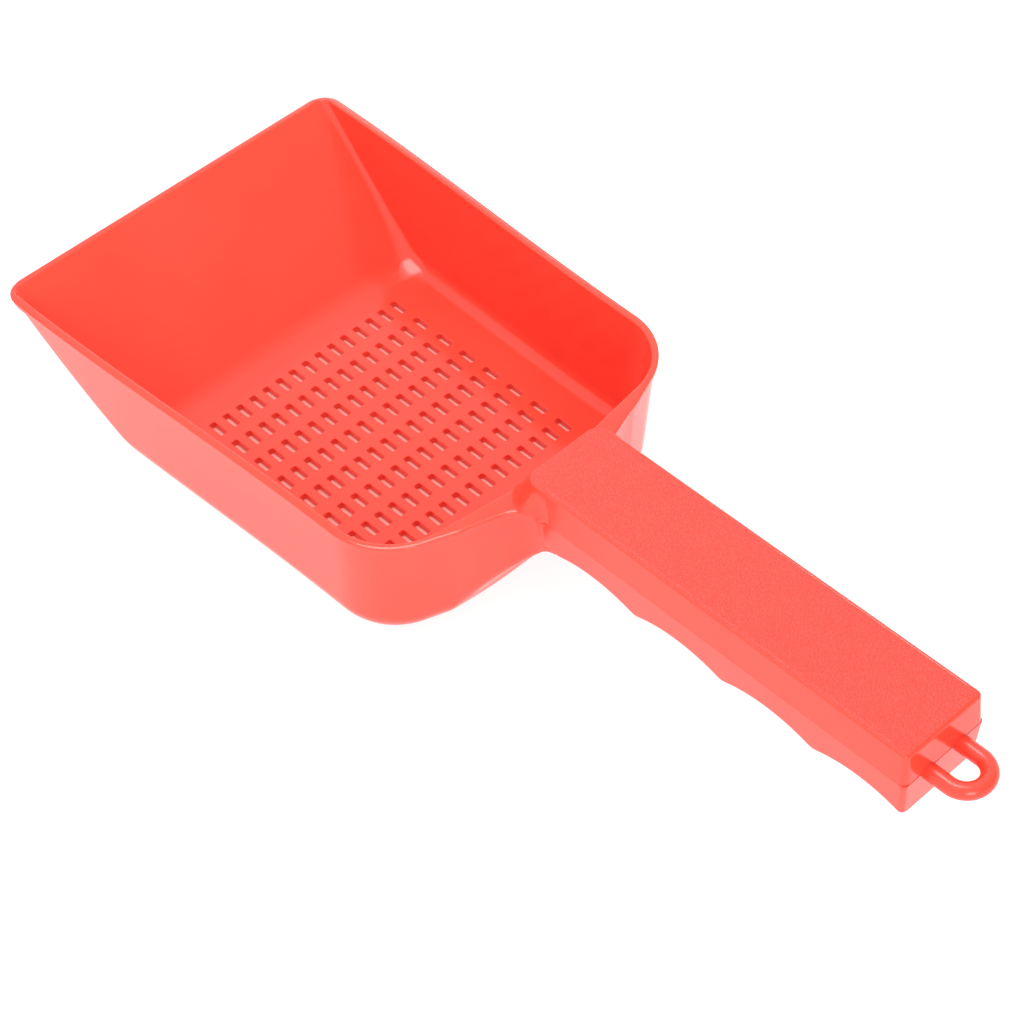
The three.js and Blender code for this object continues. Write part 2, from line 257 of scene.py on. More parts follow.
def round_inset(depth, radius):
    """How far a quarter-round edge is drawn in at a depth below the face that it ends in."""
    reach = np.clip(1 - np.asarray(depth, float) / radius, 0, 1)
    return radius * (1 - np.sqrt(1 - reach**2))


def spaced(start, end, steps):
    """Evenly spaced values from start to end."""
    return np.linspace(start, end, steps + 1)


def arc(centre, radius, start, end, steps):
    angles = spaced(start, end, steps)
    return np.stack([centre[0] + radius * np.cos(angles), centre[1] + radius * np.sin(angles)], 1)


def mirrored(half):
    """A half outline (y >= 0, from -X to +X) and its mirror image as one closed ring."""
    return np.concatenate([half, half[::-1] * [1, -1]])


def level_ring(outline, z):
    """The outline's points as a ring at one height."""
    return np.column_stack([outline, np.full(len(outline), z)])


def seam_z(x):
    """Height of the line between the handle's halves."""
    return SEAM_Z + (RIM_Z - SEAM_Z) * (1 - smoothstep(*SEAM_RISE_X, x))


class Shell:
    """Gathers faces as plain coordinates and makes one clean mesh of them."""

    def __init__(self):
        self.verts = []
        self.faces = []

    def add(self, points, faces):
        start = len(self.verts)
        self.verts.extend(map(tuple, points))
        self.faces.extend(tuple(start + i for i in face) for face in faces)

    def skin(self, rings):
        """Quads between successive closed rings of the same number of points."""
        rings = np.asarray(rings)
        count = rings.shape[1]
        faces = []
        for level in range(len(rings) - 1):
            for i in range(count):
                a = level * count + i
                b = level * count + (i + 1) % count
                faces.append((a, b, b + count, a + count))
        self.add(rings.reshape(-1, 3), faces)

    def cap(self, ring):
        self.add(ring, [tuple(range(len(ring)))])

    def sheet(self, outlines, z, keep):
        """A level sheet between closed outlines, made of the triangles that keep() accepts."""
        points = [Vector(p[:2]) for outline in outlines for p in outline]
        edges = []
        for outline in outlines:
            start = len(edges)
            edges.extend((start + i, start + (i + 1) % len(outline)) for i in range(len(outline)))
        flat, _, triangles, *_ = geometry.delaunay_2d_cdt(points, edges, [], 0, SHEET_TOLERANCE)
        kept = [t for t in triangles if keep(sum((flat[i] for i in t), Vector((0, 0))) / 3)]
        self.add([(p.x, p.y, z) for p in flat], kept)

    def mesh(self, name, sharp_angle):
        data = bpy.data.meshes.new(name)
        data.from_pydata([Vector(v) * MM for v in self.verts], [], self.faces)
        return finish_mesh(data, sharp_angle)


def finish_mesh(data, sharp_angle):
    """Merges doubles, turns every face outward and shades smooth except across sharp edges."""
    work = bmesh.new()
    work.from_mesh(data)
    bmesh.ops.remove_doubles(work, verts=work.verts, dist=MERGE_DISTANCE)
    bmesh.ops.dissolve_degenerate(work, edges=work.edges, dist=SHORTEST_EDGE)
    loose = [v for v in work.verts if not v.link_faces]
    bmesh.ops.delete(work, geom=loose, context="VERTS")
    bmesh.ops.recalc_face_normals(work, faces=work.faces)
    work.to_mesh(data)
    work.free()
    data.polygons.foreach_set("use_smooth", [True] * len(data.polygons))
    data.set_sharp_from_angle(angle=math.radians(sharp_angle))
    return data


def place(data, name):
    obj = bpy.data.objects.new(name, data)
    bpy.context.scene.collection.objects.link(obj)
    return obj


def inside(point, ring):
    """Whether a point lies inside a closed outline."""
    x, y = ring[:, 0], ring[:, 1]
    next_x, next_y = np.roll(x, -1), np.roll(y, -1)
    crosses = (y > point[1]) != (next_y > point[1])
    with np.errstate(divide="ignore", invalid="ignore"):
        at = x + (point[1] - y) * (next_x - x) / (next_y - y)
    return np.count_nonzero(crosses & (at > point[0])) % 2 == 1


# ---- pan ----------------------------------------------------------------------------------------

def side_y(x, depth, inset):
    """Half width of the pan at x, at a depth below the rim, drawn in by an inset."""
    t = np.clip((x - SIDE_START_X) / (SIDE_END_X - SIDE_START_X), 0, 1)
    a, b, c, d = SIDE_HALF_WIDTHS
    rim = a * (1 - t) ** 3 + 3 * b * t * (1 - t) ** 2 + 3 * c * t**2 * (1 - t) + d * t**3
    draft = SIDE_DRAFT[0] + (SIDE_DRAFT[1] - SIDE_DRAFT[0]) * t
    return rim - draft * depth - inset


def pan_half(front, depth, inset, front_radius, rear_radius, rear_line, rear_points):
    """Half a level outline: front edge, front corner, side, rear corner, then the rear's points."""
    front_end = front + front_radius
    front_y = side_y(front_end, depth, inset) - front_radius
    across = [(front, y) for y in spaced(0, front_y, steps=8)[:-1]]
    corner = arc((front_end, front_y), front_radius, math.pi, math.pi / 2, steps=12)
    lean_x, lean = rear_line
    turn = math.atan2(1, lean)
    corner_x = lean_x + (SHOULDER_Y - side_y(SIDE_END_X, depth, inset)) * lean
    side_end = corner_x - rear_radius * math.tan(turn / 2)
    side_x = spaced(front_end, side_end, steps=39)[1:-1]
    side = np.stack([side_x, side_y(side_x, depth, inset)], 1)
    rear_centre = (side_end, side_y(side_end, depth, inset) - rear_radius)
    rear = arc(rear_centre, rear_radius, math.pi / 2, math.pi / 2 - turn, steps=20)
    return np.concatenate([across, corner, side, rear, rear_points])


def slope_x(z, floor_z, top_x, root_x, bend):
    """x of the sloping front at a height: a straight slope with a round bend into the floor."""
    run = (root_x - top_x) / (RIM_Z - floor_z)
    angle = math.atan(1 / run)
    height = z - floor_z
    if height >= bend * (1 - math.cos(angle)):
        return root_x - run * height
    return root_x + bend * math.tan(angle / 2) - math.sqrt(bend**2 - (bend - height) ** 2)


def rim_inset(depth):
    """Outer edge of the rim: a slight bevel, then a small round."""
    width, drop = RIM_BEVEL
    return round_inset(max(depth - drop, 0), RIM_ROUND) + width * max(0, 1 - depth / drop)


def outer_inset(z):
    """How far the outer wall stands in from the rim's edge: rim rounding, bead and rounded foot."""
    bead = BEAD_OVERHANG * (1 - smoothstep(BEAD_Z - BEAD_FADE[0], BEAD_Z + BEAD_FADE[1], z))
    return float(rim_inset(RIM_Z - z) + bead + round_inset(z, OUTER_FOOT))


def rear_shift(z):
    """How far the outer rear wall has moved forward at a height, measured along x."""
    return REAR_DRAFT_OUTER * (RIM_Z - z) + outer_inset(z) * math.hypot(1, REAR_LEAN)


def rear_wall_x(y, z):
    """x of the outer rear wall behind the neck: straight at the shoulder, flat in the middle."""
    t = 1 - np.asarray(y) / SHOULDER_Y
    return eased(t, REAR_X_AT_SHOULDER, REAR_PULL, REAR_CENTRE_X) - rear_shift(z)


def web_x(z):
    """x of the sloping web under the neck, which runs out along the handle's underside."""
    curve = WEB_BEND * max(0.0, z - WEB_BEND_Z) ** 2
    return WEB_FOOT[0] + (z - WEB_FOOT[1]) * WEB_RUN + curve


def neck_points(z):
    """Points along the outer rear, from shoulder round the neck's hollow to the handle's middle."""
    wall_shift = rear_shift(z)
    end_y = NECK_RIM_Y - outer_inset(z) - BASE_DRAFT * max(0.0, SEAM_Z - z)
    radius = NECK_CENTRE_Y - end_y
    normal = np.array([1, REAR_LEAN]) / math.hypot(1, REAR_LEAN)
    line_x = REAR_X_AT_SHOULDER + (SHOULDER_Y - NECK_CENTRE_Y) * REAR_LEAN - wall_shift
    centre = np.array([line_x + radius / normal[0], NECK_CENTRE_Y])
    shoulder = np.array([REAR_X_AT_SHOULDER - wall_shift, SHOULDER_Y])
    straight = spaced(shoulder, centre - radius * normal, steps=13)[:-1]
    start_angle = math.pi + math.atan2(normal[1], normal[0])
    hollow = arc(centre, radius, start_angle, 1.5 * math.pi, steps=22)
    along_x = spaced(hollow[-1][0], NECK_END_X, steps=9)[1:]
    if z < BEAD_Z:
        along_y = end_y - WALL_TUCK * smoothstep(*WALL_TUCK_X, along_x)
    else:
        along_y = end_y - RIM_TUCK * smoothstep(*RIM_TUCK_X, along_x)
    along = np.stack([along_x, along_y], 1)
    middle = [(NECK_END_X, y) for y in spaced(along_y[-1], 0, steps=8)[1:]]
    points = np.concatenate([straight, hollow, along, middle])
    clipped = soft_min(points[:, 0], web_x(z), NECK_BLEND)
    points[:, 0] = soft_max(clipped, rear_wall_x(points[:, 1], z), NECK_BLEND)
    return points


def outer_front_radius(share):
    """Radius of the outer front corners: tightest half way down, roundest at the floor."""
    return OUTER_CORNER * (1 - share * (1 - share)) + OUTER_CORNER_GROWTH * share**4


def inner_front_radius(share):
    """Radius of the inner front corners: tight down the slope, wider at the lip and at the floor."""
    lip = INNER_CORNER_AT_LIP * (1 - share) ** 6
    return INNER_CORNER + lip + INNER_CORNER_SLOPE * share + INNER_CORNER_GROWTH * share**4


def outer_ring(z):
    """Level ring of the pan's outer skin, lowered to the seam where it lies under the cover."""
    depth = RIM_Z - z
    inset = outer_inset(z)
    foot = float(round_inset(z, OUTER_FOOT))
    slope = slope_x(z, 0, LIP_X, SLOPE_ROOT_X, OUTER_BEND)
    half = pan_half(
        front=slope + LIP_TRIM * rim_inset(depth),
        depth=depth,
        inset=inset,
        front_radius=outer_front_radius(depth / RIM_Z),
        rear_radius=max(REAR_CORNER_RADIUS - inset - foot, OUTER_FOOT),
        rear_line=(REAR_X_AT_SHOULDER - rear_shift(z), REAR_LEAN),
        rear_points=neck_points(z),
    )
    ring = mirrored(half)
    under_cover = ring[:, 0] > SEAM_RISE_X[0]
    heights = np.where(under_cover, np.minimum(z, seam_z(ring[:, 0]) - SEAM_GAP), z)
    return np.column_stack([ring, heights])


def inner_ring(z):
    """Level ring of the pan's inner skin."""
    depth = RIM_Z - z
    edge = float(round_inset(depth, RIM_ROUND))
    inset = WALL + float(round_inset(z - FLOOR_Z, INNER_FOOT)) - edge
    shift = REAR_DRAFT_INNER * depth + inset - WALL
    rear_y = spaced(SHOULDER_Y, 0, steps=23)
    lean = INNER_REAR_LEAN * np.minimum(0, INNER_SHOULDER_Y - rear_y)
    rear_x = INNER_REAR_X + lean - shift
    root_x = SLOPE_ROOT_X + INNER_ROOT_SHIFT
    slope = slope_x(z, FLOOR_Z, LIP_X + LIP_THICKNESS, root_x, INNER_BEND)
    half = pan_half(
        front=slope - LIP_TRIM * edge,
        depth=depth,
        inset=inset,
        front_radius=inner_front_radius(depth / (RIM_Z - FLOOR_Z)),
        rear_radius=max(REAR_CORNER_RADIUS - inset, INNER_FOOT),
        rear_line=(rear_x[0], INNER_REAR_LEAN),
        rear_points=np.stack([rear_x, rear_y], 1),
    )
    return level_ring(mirrored(half), z)


def levels(floor_z, foot):
    """Heights of the rings from the floor to the rim: close together round the foot and the rim."""
    low_bead, high_bead = BEAD_Z - BEAD_RINGS[0], BEAD_Z + BEAD_RINGS[1]
    round_foot = floor_z + foot * (1 - np.cos(spaced(0, math.pi / 2, steps=12)))
    wall = spaced(floor_z + foot, low_bead, steps=25)[1:]
    bead = spaced(low_bead, high_bead, steps=6)[1:]
    bevel_z = RIM_Z - RIM_BEVEL[1]
    top_round = bevel_z - RIM_ROUND * (1 - np.sin(spaced(0, math.pi / 2, steps=7)))
    bevel = [RIM_Z - RIM_BEVEL[1] / 2, RIM_Z]
    return np.concatenate([round_foot, wall, bead, top_round, bevel])


def slot_outline(centre, grow):
    """A slot's outline with round corners, grown by a margin."""
    radius = SLOT_CORNER + grow
    half_x = SLOT_SIZE[0] / 2 + grow - radius
    half_y = SLOT_SIZE[1] / 2 + grow - radius
    corners = []
    for quarter, (toward_x, toward_y) in enumerate([(1, 1), (-1, 1), (-1, -1), (1, -1)]):
        middle = (centre[0] + toward_x * half_x, centre[1] + toward_y * half_y)
        start = quarter * math.pi / 2
        corners.append(arc(middle, radius, start, start + math.pi / 2, steps=4))
    return np.concatenate(corners)


def slot_centres():
    rows = [SLOT_FIRST_X + i * SLOT_PITCH[0] for i in range(SLOT_ROWS)]
    columns = [(i - (SLOT_COLUMNS - 1) / 2) * SLOT_PITCH[1] for i in range(SLOT_COLUMNS)]
    return [(x, y) for x in rows for y in columns]


def in_slot(point, grow):
    """Whether the middle of a triangle lies in one of the slots."""
    row = round((point[0] - SLOT_FIRST_X) / SLOT_PITCH[0])
    column = round(point[1] / SLOT_PITCH[1] + (SLOT_COLUMNS - 1) / 2)
    if not (0 <= row < SLOT_ROWS and 0 <= column < SLOT_COLUMNS):
        return False
    dx = abs(point[0] - SLOT_FIRST_X - row * SLOT_PITCH[0])
    dy = abs(point[1] - (column - (SLOT_COLUMNS - 1) / 2) * SLOT_PITCH[1])
    radius = SLOT_CORNER + grow
    corner_x = max(dx - (SLOT_SIZE[0] / 2 + grow - radius), 0)
    corner_y = max(dy - (SLOT_SIZE[1] / 2 + grow - radius), 0)
    return math.hypot(corner_x, corner_y) < CHORD_SHARE * radius


def add_floor(shell, ring, z, grow):
    """One side of the floor: a narrow flat border, then a sheet with the slots left open."""
    middle = np.array([ring[:, 0].mean(), 0.0])
    border = ring[:, :2] + (middle - ring[:, :2]) * BORDER_SHARE
    shell.skin([ring, level_ring(border, z)])
    slots = [slot_outline(c, grow) for c in slot_centres()]
    shell.sheet([border, *slots], z, lambda p: inside(p, border) and not in_slot(p, grow))


def add_slot_walls(shell):
    for centre in slot_centres():
        shell.skin([
            level_ring(slot_outline(centre, SLOT_CHAMFER), FLOOR_Z),
            level_ring(slot_outline(centre, 0), FLOOR_Z - SLOT_CHAMFER),
            level_ring(slot_outline(centre, SLOT_SPREAD), 0),
        ])


def add_rim_top(shell, rim_out, rim_in):
    """The rim's level top, lowered to the seam where it runs in under the handle's cover."""
    start = len(shell.verts)
    shell.sheet(
        [rim_out, rim_in],
        RIM_Z,
        lambda p: inside(p, rim_out[:, :2]) and not inside(p, rim_in[:, :2]),
    )
    for i in range(start, len(shell.verts)):
        x, y, z = shell.verts[i]
        if x > SEAM_RISE_X[0]:
            shell.verts[i] = (x, y, min(z, float(seam_z(x)) - SEAM_GAP))


def pan_mesh():
    shell = Shell()
    outer = [outer_ring(z) for z in levels(0, OUTER_FOOT)]
    inner = [inner_ring(z) for z in levels(FLOOR_Z, INNER_FOOT)]
    shell.skin(outer)
    shell.skin(inner)
    add_floor(shell, outer[0], 0, SLOT_SPREAD)
    add_floor(shell, inner[0], FLOOR_Z, SLOT_CHAMFER)
    add_slot_walls(shell)
    add_rim_top(shell, outer[-1], inner[-1])
    return shell.mesh("pan", sharp_angle=35)


# ---- lower half of the handle -------------------------------------------------------------------

def grip_low_z(x):
    """Height of the handle's underside: finger grooves side by side, rounded where they meet."""
    radius = ((GROOVE_PITCH / 2) ** 2 + GROOVE_DEPTH**2) / (2 * GROOVE_DEPTH)
    offset = (x - GROOVE_FIRST_X + GROOVE_PITCH / 2) % GROOVE_PITCH - GROOVE_PITCH / 2
    z = GRIP_LOW_Z + GROOVE_DEPTH - radius + math.sqrt(radius**2 - offset**2)
    z = float(soft_max(z, GRIP_LOW_Z + RIDGE_HEIGHT, RIDGE_BLEND))
    if x < NECK_END_X:
        z = max(z, NECK_LOW_Z + NECK_LOW_RISE * (NECK_END_X - x))
    return z


def grip_section(x, inset):
    """Half a cross section of the lower half, from the middle of its top round to its underside."""
    top = SEAM_Z - SEAM_GAP / 2
    low = grip_low_z(x) + END_LIFT * inset

    def half_width(z):
        return HALF_WIDTH - BASE_DRAFT * (SEAM_Z - z) - inset

    points = [(y, top) for y in spaced(0, half_width(top) - GRIP_EDGE, steps=6)]
    edge_cut = GRIP_EDGE * GRIP_EDGE_CUT
    points.append((half_width(top) - edge_cut, top - edge_cut))
    points.extend((half_width(z), z) for z in spaced(top - GRIP_EDGE, low + GRIP_CORNER, steps=8))
    for angle in spaced(0, math.pi / 2, steps=8)[1:]:
        z = low + GRIP_CORNER * (1 - math.sin(angle))
        points.append((half_width(z) - GRIP_CORNER * (1 - math.cos(angle)), z))
    points.extend((y, low) for y in spaced(points[-1][0], 0, steps=6)[1:])
    return np.array(points)


def end_lean(x, z):
    """How far the end face leans in away from the seam."""
    reach = smoothstep(HANDLE_END_X - END_LEAN_RUN, HANDLE_END_X, x)
    return reach * BASE_DRAFT * np.maximum(0, SEAM_Z - z)


def grip_mesh():
    shell = Shell()
    stations = [(x, 0.0) for x in np.arange(GRIP_START_X, HANDLE_END_X - END_ROUND, GRIP_STEP)]
    for angle in spaced(0, math.pi / 2, steps=8):
        x = HANDLE_END_X - END_ROUND * (1 - math.sin(angle))
        stations.append((x, END_ROUND * (1 - math.cos(angle))))
    rings = []
    for x, inset in stations:
        section = grip_section(x, inset)
        loop = np.concatenate([section, section[-2:0:-1] * [-1, 1]])
        rings.append(np.column_stack([x - end_lean(x, loop[:, 1]), loop]))
    shell.skin(rings)
    shell.cap(rings[0])
    shell.cap(rings[-1])
    return shell.mesh("grip", sharp_angle=35)


def evaluated_mesh(obj):
    """The object's mesh with its modifiers worked in."""
    graph = bpy.context.evaluated_depsgraph_get()
    return bpy.data.meshes.new_from_object(obj.evaluated_get(graph))


def united(name, first, second, sharp_angle):
    """Both meshes joined into one solid, with evened normals."""
    whole, other = place(first, name), place(second, name + "_cutter")
    join = whole.modifiers.new("join", "BOOLEAN")
    join.operation = "UNION"
    join.solver = "EXACT"
    join.object = other
    data = evaluated_mesh(whole)
    bpy.data.objects.remove(other)
    whole.modifiers.clear()
    whole.data = finish_mesh(data, sharp_angle)
    even = whole.modifiers.new("even", "WEIGHTED_NORMAL")
    even.keep_sharp = True
    whole.data = evaluated_mesh(whole)
    whole.modifiers.clear()
    return whole


# ---- cover --------------------------------------------------------------------------------------

def straight_stretch(x, y, normal):
    """Points and outward normals along a straight stretch; x or y is an array."""
    points = np.stack(np.broadcast_arrays(x, y), 1)
    return points, np.tile(normal, (len(points), 1))


def round_stretch(centre, radius, start, end, steps):
    """Points and outward normals round a corner."""
    normals = arc((0, 0), 1, start, end, steps)
    return np.array(centre) + radius * normals, normals


def cover_plan():
    """Half of the cover's plan at its top edge, from front to end: points and outward normals."""
    lean = COVER_DRAFT * (TOP_Z - SEAM_Z)
    top_half, end_x = HALF_WIDTH - lean, HANDLE_END_X - lean
    front_centre = (COVER_FRONT_X + COVER_CORNER, top_half - COVER_CORNER)
    end_centre = (end_x - END_ROUND, top_half - END_ROUND)
    side_x = spaced(front_centre[0], end_centre[0], steps=149)[1:-1]
    stretches = [
        straight_stretch(COVER_FRONT_X, spaced(0, front_centre[1], steps=7)[:-1], (-1.0, 0.0)),
        round_stretch(front_centre, COVER_CORNER, math.pi, math.pi / 2, steps=16),
        straight_stretch(side_x, top_half, (0.0, 1.0)),
        round_stretch(end_centre, END_ROUND, math.pi / 2, 0, steps=8),
        straight_stretch(end_x, spaced(end_centre[1], 0, steps=7)[1:], (1.0, 0.0)),
    ]
    points, normals = (np.concatenate(columns) for columns in zip(*stretches))
    return points, normals


def cover_offsets(points, normals, z):
    """How far the cover's plan moves outward at a height: draft, top edge and spreading foot."""
    toward_end = np.maximum(0, normals[:, 0])
    toward_front = np.maximum(0, -normals[:, 0])
    top_edge = round_inset(TOP_Z - z, COVER_EDGE[0] + COVER_EDGE[1] * toward_end**2)
    at_side = SIDE_SPREAD * (1 - smoothstep(*SIDE_SPREAD_X, points[:, 0]))
    down = np.clip((SPREAD_TOP_Z - z) / (SPREAD_TOP_Z - RIM_Z), 0, 1)
    curve = SPREAD_CURVE[0] - SPREAD_CURVE[1] * toward_front
    foot = (at_side + FRONT_SPREAD * toward_front) * down**curve
    return COVER_DRAFT * (TOP_Z - z) - top_edge + foot


def cover_mesh():
    points, normals = cover_plan()
    end_gap = END_SEAM_GAP * np.maximum(0, normals[:, 0]) ** 2
    low = seam_z(points[:, 0]) + SEAM_GAP / 2 + end_gap
    quarter = spaced(0, math.pi / 2, steps=13)
    foot_z, edge_z = RIM_Z + COVER_FOOT_HEIGHT, TOP_Z - COVER_EDGE_DEPTH
    heights = np.concatenate([
        spaced(SEAM_Z, RIM_Z, steps=4),
        RIM_Z + COVER_FOOT_HEIGHT * (1 - np.cos(quarter))[1:],
        spaced(foot_z, edge_z - COVER_EDGE_GAP, steps=4)[1:],
        TOP_Z - COVER_EDGE_DEPTH * (1 - np.sin(quarter)),
    ])
    at_rim = cover_offsets(points, normals, RIM_Z)
    shell = Shell()
    rings = []
    for height in heights:
        z = np.maximum(height, low)
        on_rise = (z > height) & (points[:, 0] < SIDE_SPREAD_X[1])
        reach = np.where(on_rise, at_rim, cover_offsets(points, normals, height))
        half = np.column_stack([points + normals * reach[:, None], z])
        rings.append(np.concatenate([half, half[::-1] * [1, -1, 1]]))
    shell.skin(rings)
    shell.cap(rings[0])
    add_cover_top(shell, rings[-1])
    return shell.mesh("cover", sharp_angle=40)


def add_cover_top(shell, ring):
    """The top face: a fine groove along its long edges, then the grained field."""
    middle = ring.mean(0)
    size = np.ptp(ring[:, :2], axis=0)
    end_x = ring[:, 0].max()
    along = smoothstep(*GROOVE_FADE_FRONT, ring[:, 0])
    along = along * (1 - smoothstep(*(end_x - back for back in GROOVE_FADE_END), ring[:, 0]))
    border = [ring]
    for margin, depth in TOP_GROOVE:
        line = middle + (ring - middle) * [*(1 - 2 * margin / size), 1]
        line[:, 2] = TOP_Z - depth * along
        border.append(line)
    shell.skin(border)
    shell.cap(border[-1])


# ---- hanging loop -------------------------------------------------------------------------------

def loop_mesh():
    """A round bar bent into a U, its legs running in through the handle's end."""
    bend_x = LOOP_HIGH.x - LOOP_BAR - LOOP_LEG_Y
    leg_x = spaced(HANDLE_END_X - LOOP_LEG_SINK, bend_x, steps=11)
    path = [(x, -LOOP_LEG_Y, -math.pi / 2) for x in leg_x]
    for angle in spaced(-math.pi / 2, math.pi / 2, steps=48)[1:-1]:
        x, y = bend_x + LOOP_LEG_Y * math.cos(angle), LOOP_LEG_Y * math.sin(angle)
        path.append((x, y, angle))
    path += [(x, LOOP_LEG_Y, math.pi / 2) for x in leg_x[::-1]]
    out, up = arc((0, 0), LOOP_BAR, 0, 2 * math.pi, steps=32)[:-1].T
    rings = [
        np.column_stack([x + out * math.cos(angle), y + out * math.sin(angle), LOOP_Z + up])
        for x, y, angle in path
    ]
    shell = Shell()
    shell.skin(rings)
    shell.cap(rings[0])
    shell.cap(rings[-1])
    return shell.mesh("loop", sharp_angle=60)


# ---- materials ----------------------------------------------------------------------------------

class Nodes:
    """Adds and joins the nodes of one material."""

    def __init__(self, name):
        self.material = bpy.data.materials.new(name)
        self.material.use_nodes = True
        self.tree = self.material.node_tree
        self.shader = self.tree.nodes["Principled BSDF"]

    def add(self, kind, **values):
        node = self.tree.nodes.new(kind)
        for key, value in values.items():
            if key in node.inputs:
                node.inputs[key].default_value = value
            else:
                setattr(node, key, value)
        return node

    def join(self, source, target):
        self.tree.links.new(source, target)

    def object_place(self):
        return self.add("ShaderNodeTexCoord").outputs["Object"]

    def noise(self, place_of, **values):
        """A cloud pattern over the object."""
        node = self.add("ShaderNodeTexNoise", **values)
        self.join(place_of, node.inputs["Vector"])
        return node.outputs["Fac"]

    def ramp(self, source, stops):
        """A colour ramp driven by a value; stops are (position, colour)."""
        node = self.tree.nodes.new("ShaderNodeValToRGB")
        elements = node.color_ramp.elements
        for element, (position, colour) in zip(elements, stops):
            element.position = position
            element.color = (*colour, 1)
        self.join(source, node.inputs["Fac"])
        return node.outputs["Color"]

    def spread(self, source, low, high):
        """Maps a 0 to 1 value onto a range."""
        node = self.add("ShaderNodeMapRange")
        node.inputs["To Min"].default_value = low
        node.inputs["To Max"].default_value = high
        self.join(source, node.inputs["Value"])
        return node.outputs["Result"]

    def share(self, source, low, high):
        """How far a value has come from low to high, 0 to 1."""
        node = self.add("ShaderNodeMapRange")
        node.inputs["From Min"].default_value = low
        node.inputs["From Max"].default_value = high
        self.join(source, node.inputs["Value"])
        return node.outputs["Result"]

    def mix(self, share, first, second):
        """The first colour, giving way to the second as the share goes from 0 to 1."""
        node = self.add("ShaderNodeMix", data_type="RGBA")
        sockets = [socket for socket in node.inputs if socket.enabled]
        for source, target in zip((share, first, second), sockets):
            self.join(source, target)
        return next(socket for socket in node.outputs if socket.enabled)

    def reckon(self, operation, *values):
        """The result of an operation on sockets or numbers."""
        node = self.add("ShaderNodeMath", operation=operation)
        for value, target in zip(values, node.inputs):
            if isinstance(value, float):
                target.default_value = value
            else:
                self.join(value, target)
        return node.outputs[0]


def plastic(name, tints, roughness):
    """Glossy moulded plastic: slight cloudiness, handling haze in the gloss, a faint flow ripple."""
    made = Nodes(name)
    place_of = made.object_place()
    cloud = made.noise(place_of, Scale=38.0, Detail=3.0, Roughness=0.55)
    colour = made.ramp(cloud, [(0.3, tints[0]), (0.7, tints[1])])
    made.join(colour, made.shader.inputs["Base Color"])
    haze = made.noise(place_of, Scale=90.0, Detail=5.0, Roughness=0.6)
    made.join(made.spread(haze, *roughness), made.shader.inputs["Roughness"])
    ripple = made.noise(place_of, Scale=120.0, Detail=2.0, Roughness=0.5)
    bump = made.add("ShaderNodeBump", Strength=0.04, Distance=0.0004)
    made.join(ripple, bump.inputs["Height"])
    made.join(bump.outputs["Normal"], made.shader.inputs["Normal"])
    made.shader.inputs["IOR"].default_value = 1.49
    return made


def add_grain(made):
    """A leather grain moulded into every face that looks up, with painted shade along the lines
    between its cells.
    """
    colour = made.shader.inputs["Base Color"]
    roughness = made.shader.inputs["Roughness"]
    normal = made.shader.inputs["Normal"]
    place_of = made.object_place()
    warp = made.noise(place_of, Scale=2800.0, Detail=1.0, Roughness=0.5)
    cells = made.add("ShaderNodeTexVoronoi", feature="F1", Scale=1900.0, Randomness=1.0)
    made.join(place_of, cells.inputs["Vector"])
    height = made.reckon("ADD", cells.outputs["Distance"], warp)
    split = made.add("ShaderNodeSeparateXYZ")
    made.join(made.add("ShaderNodeNewGeometry").outputs["True Normal"], split.inputs["Vector"])
    upward = made.share(split.outputs["Z"], low=0.9, high=0.99)
    bump = made.add("ShaderNodeBump", Distance=0.0002)
    made.join(height, bump.inputs["Height"])
    made.join(upward, bump.inputs["Strength"])
    made.join(normal.links[0].from_socket, bump.inputs["Normal"])
    made.join(bump.outputs["Normal"], normal)
    # Painted shade: the grain's colour darkens toward the edges of its cells, where its height is
    # greatest
    deep, light = GRAIN_TINTS_WITH_PAINTED_SHADE
    tint = made.ramp(made.spread(height, low=0.0, high=1.0), [(0.45, light), (1.0, deep)])
    made.join(made.mix(upward, colour.links[0].from_socket, tint), colour)
    rougher = made.reckon("MULTIPLY_ADD", upward, GRAIN_ROUGHNESS, roughness.links[0].from_socket)
    made.join(rougher, roughness)


def smooth_plastic():
    return plastic("smooth_red_plastic", SMOOTH_TINTS, SMOOTH_ROUGHNESS).material


def loop_plastic():
    return plastic("loop_red_plastic", LOOP_TINTS, LOOP_ROUGHNESS).material


def grained_plastic():
    made = plastic("grained_red_plastic", SMOOTH_TINTS, SMOOTH_ROUGHNESS)
    add_grain(made)
    return made.material


# ---- stage, light and camera --------------------------------------------------------------------

def board_glow_with_painted_shadow(made):
    """Light given off by the board: full round the scoop; under the pan's slots a dim painted shadow,
    reddish with painted bounce light from the scoop.
    """
    split = made.add("ShaderNodeSeparateXYZ")
    made.join(made.add("ShaderNodeNewGeometry").outputs["Position"], split.inputs["Vector"])
    reach_x = (SLOT_ROWS - 1) / 2 * SLOT_PITCH[0] + SLOT_SIZE[0] / 2
    reach_y = (SLOT_COLUMNS - 1) / 2 * SLOT_PITCH[1] + SLOT_SIZE[1] / 2
    middle_x = SLOT_FIRST_X + (SLOT_ROWS - 1) / 2 * SLOT_PITCH[0]
    beyond = []
    for axis, centre, reach in (("X", middle_x, reach_x), ("Y", 0.0, reach_y)):
        offset = made.reckon("SUBTRACT", split.outputs[axis], centre * MM)
        beyond.append(made.reckon("SUBTRACT", made.reckon("ABSOLUTE", offset), reach * MM))
    # Painted shadow and red bounce over the slot field, fading into the board's full light 1 to 4 mm
    # beyond it
    clear_of_painted_shadow = made.share(made.reckon("MAXIMUM", *beyond), *SHADOW_FADE)
    return made.ramp(clear_of_painted_shadow, [(0.0, PAINTED_SHADOW_AND_BOUNCE), (1.0, BOARD_GLOW)])


